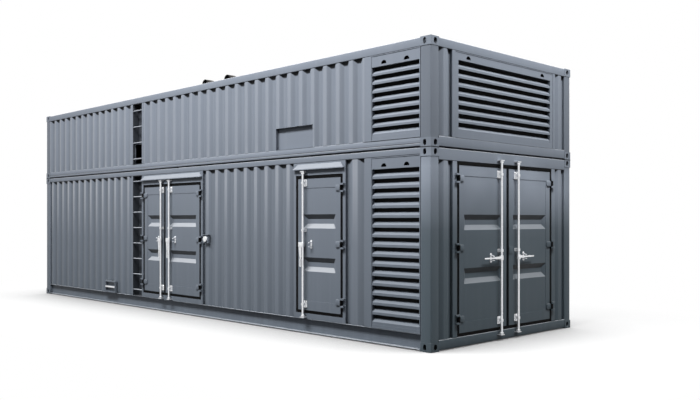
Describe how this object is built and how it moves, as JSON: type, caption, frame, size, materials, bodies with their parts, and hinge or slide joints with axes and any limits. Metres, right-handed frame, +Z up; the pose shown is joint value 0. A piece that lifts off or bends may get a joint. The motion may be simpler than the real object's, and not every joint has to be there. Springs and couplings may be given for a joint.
{
  "type": "containerised generator set",
  "caption": "Two-storey steel container housing of a generator set with corrugated walls, louvred air intakes, hinged plant doors with lock bars, a recessed ladder and roof exhausts.",
  "frame": {"origin": "middle of the footprint, level with the undersides of the corner castings", "axes": "+X along the length towards the end with the wide double doors, -Y towards the service side with the ladder, +Z up"},
  "size_m": [11.291, 3.426, 4.263],
  "materials": {
    "housing_paint": "satin blue-grey paint",
    "galvanised_steel": "galvanised",
    "floor_steel": "dark plate",
    "rubber_seal": "matt black",
    "lens_plastic": "gloss white",
    "exhaust_steel": "dull steel"
  },
  "bodies": {
    "housing": {"lower_corner_castings": "housing_paint", "upper_corner_castings": "housing_paint", "lower_corner_posts": "housing_paint", "upper_corner_posts": "housing_paint", "lower_bottom_rails": "housing_paint", "lower_top_rails": "housing_paint", "upper_bottom_rails": "housing_paint", "upper_top_rails": "housing_paint", "floor_plate": "floor_steel", "floor_cross_members": "floor_steel", "lower_ceiling": "housing_paint", "roof_sheet": "housing_paint", "exhaust_outlets": "exhaust_steel", "lower_wall_far": "housing_paint", "lower_wall_middle": "housing_paint", "lower_wall_near": "housing_paint", "lower_side_louvre": "housing_paint", "lower_back_wall": "housing_paint", "lower_back_louvre": "housing_paint", "lower_far_end_wall": "housing_paint", "lower_end_strips": "housing_paint", "lower_wall_studs": "housing_paint", "upper_wall_far": "housing_paint", "upper_wall_middle": "housing_paint", "upper_hatch": "housing_paint", "upper_side_louvre": "housing_paint", "upper_back_wall": "housing_paint", "upper_back_louvre": "housing_paint", "upper_far_end_wall": "housing_paint", "upper_end_strips": "housing_paint", "upper_end_louvre": "housing_paint", "upper_wall_studs": "housing_paint", "single_door_frame": "housing_paint", "double_door_frame": "housing_paint", "end_door_jambs": "housing_paint", "door_hinge_seats": "housing_paint", "lock_keepers": "galvanised_steel", "door_gaskets": "rubber_seal", "door_canopies": "housing_paint", "ladder_recess": "housing_paint", "ladder_rungs": "housing_paint", "emergency_stop_box": "housing_paint", "emergency_stop_lens": "lens_plastic", "terminal_box": "housing_paint"},
    "single_door": {"single_door_leaf": "housing_paint", "single_door_fittings": "galvanised_steel"},
    "single_door_bar": {"single_door_lock_bar": "galvanised_steel"},
    "wide_door": {"wide_door_leaf": "housing_paint", "wide_door_fittings": "galvanised_steel"},
    "wide_door_bar": {"wide_door_lock_bar": "galvanised_steel"},
    "narrow_door": {"narrow_door_leaf": "housing_paint", "narrow_door_fittings": "galvanised_steel"},
    "narrow_door_bar": {"narrow_door_lock_bar": "galvanised_steel"},
    "end_left_door": {"end_left_door_leaf": "housing_paint", "end_left_door_fittings": "galvanised_steel"},
    "end_left_door_bar": {"end_left_door_lock_bar": "galvanised_steel"},
    "end_right_door": {"end_right_door_leaf": "housing_paint", "end_right_door_fittings": "galvanised_steel"},
    "end_right_door_bar": {"end_right_door_lock_bar": "galvanised_steel"}
  },
  "joints": [
    {"name": "single_door_swing", "type": "hinge", "parent": "housing", "child": "single_door", "pos_m": [4.004, -1.6995, 1.3], "axis": [0, 0, 1], "range_deg": [0, 135]},
    {"name": "single_door_bar_turn", "type": "hinge", "parent": "single_door", "child": "single_door_bar", "pos_m": [3.226, -1.7195, 1.3], "axis": [0, 0, 1], "range_deg": [0, 90]},
    {"name": "wide_door_swing", "type": "hinge", "parent": "housing", "child": "wide_door", "pos_m": [0.517, -1.6995, 1.3], "axis": [0, 0, 1], "range_deg": [0, 135]},
    {"name": "wide_door_bar_turn", "type": "hinge", "parent": "wide_door", "child": "wide_door_bar", "pos_m": [-0.412, -1.7195, 1.3], "axis": [0, 0, 1], "range_deg": [0, 90]},
    {"name": "narrow_door_swing", "type": "hinge", "parent": "housing", "child": "narrow_door", "pos_m": [-1.354, -1.6995, 1.3], "axis": [0, 0, -1], "range_deg": [0, 135]},
    {"name": "narrow_door_bar_turn", "type": "hinge", "parent": "narrow_door", "child": "narrow_door_bar", "pos_m": [-0.689, -1.7195, 1.3], "axis": [0, 0, 1], "range_deg": [0, 90]},
    {"name": "end_left_door_swing", "type": "hinge", "parent": "housing", "child": "end_left_door", "pos_m": [5.632, -1.128, 1.3], "axis": [0, 0, -1], "range_deg": [0, 135]},
    {"name": "end_left_door_bar_turn", "type": "hinge", "parent": "end_left_door", "child": "end_left_door_bar", "pos_m": [5.652, -0.205, 1.3], "axis": [0, 0, 1], "range_deg": [0, 90]},
    {"name": "end_right_door_swing", "type": "hinge", "parent": "housing", "child": "end_right_door", "pos_m": [5.632, 1.128, 1.3], "axis": [0, 0, 1], "range_deg": [0, 135]},
    {"name": "end_right_door_bar_turn", "type": "hinge", "parent": "end_right_door", "child": "end_right_door_bar", "pos_m": [5.652, 0.205, 1.3], "axis": [0, 0, -1], "range_deg": [0, 90]}
  ]
}
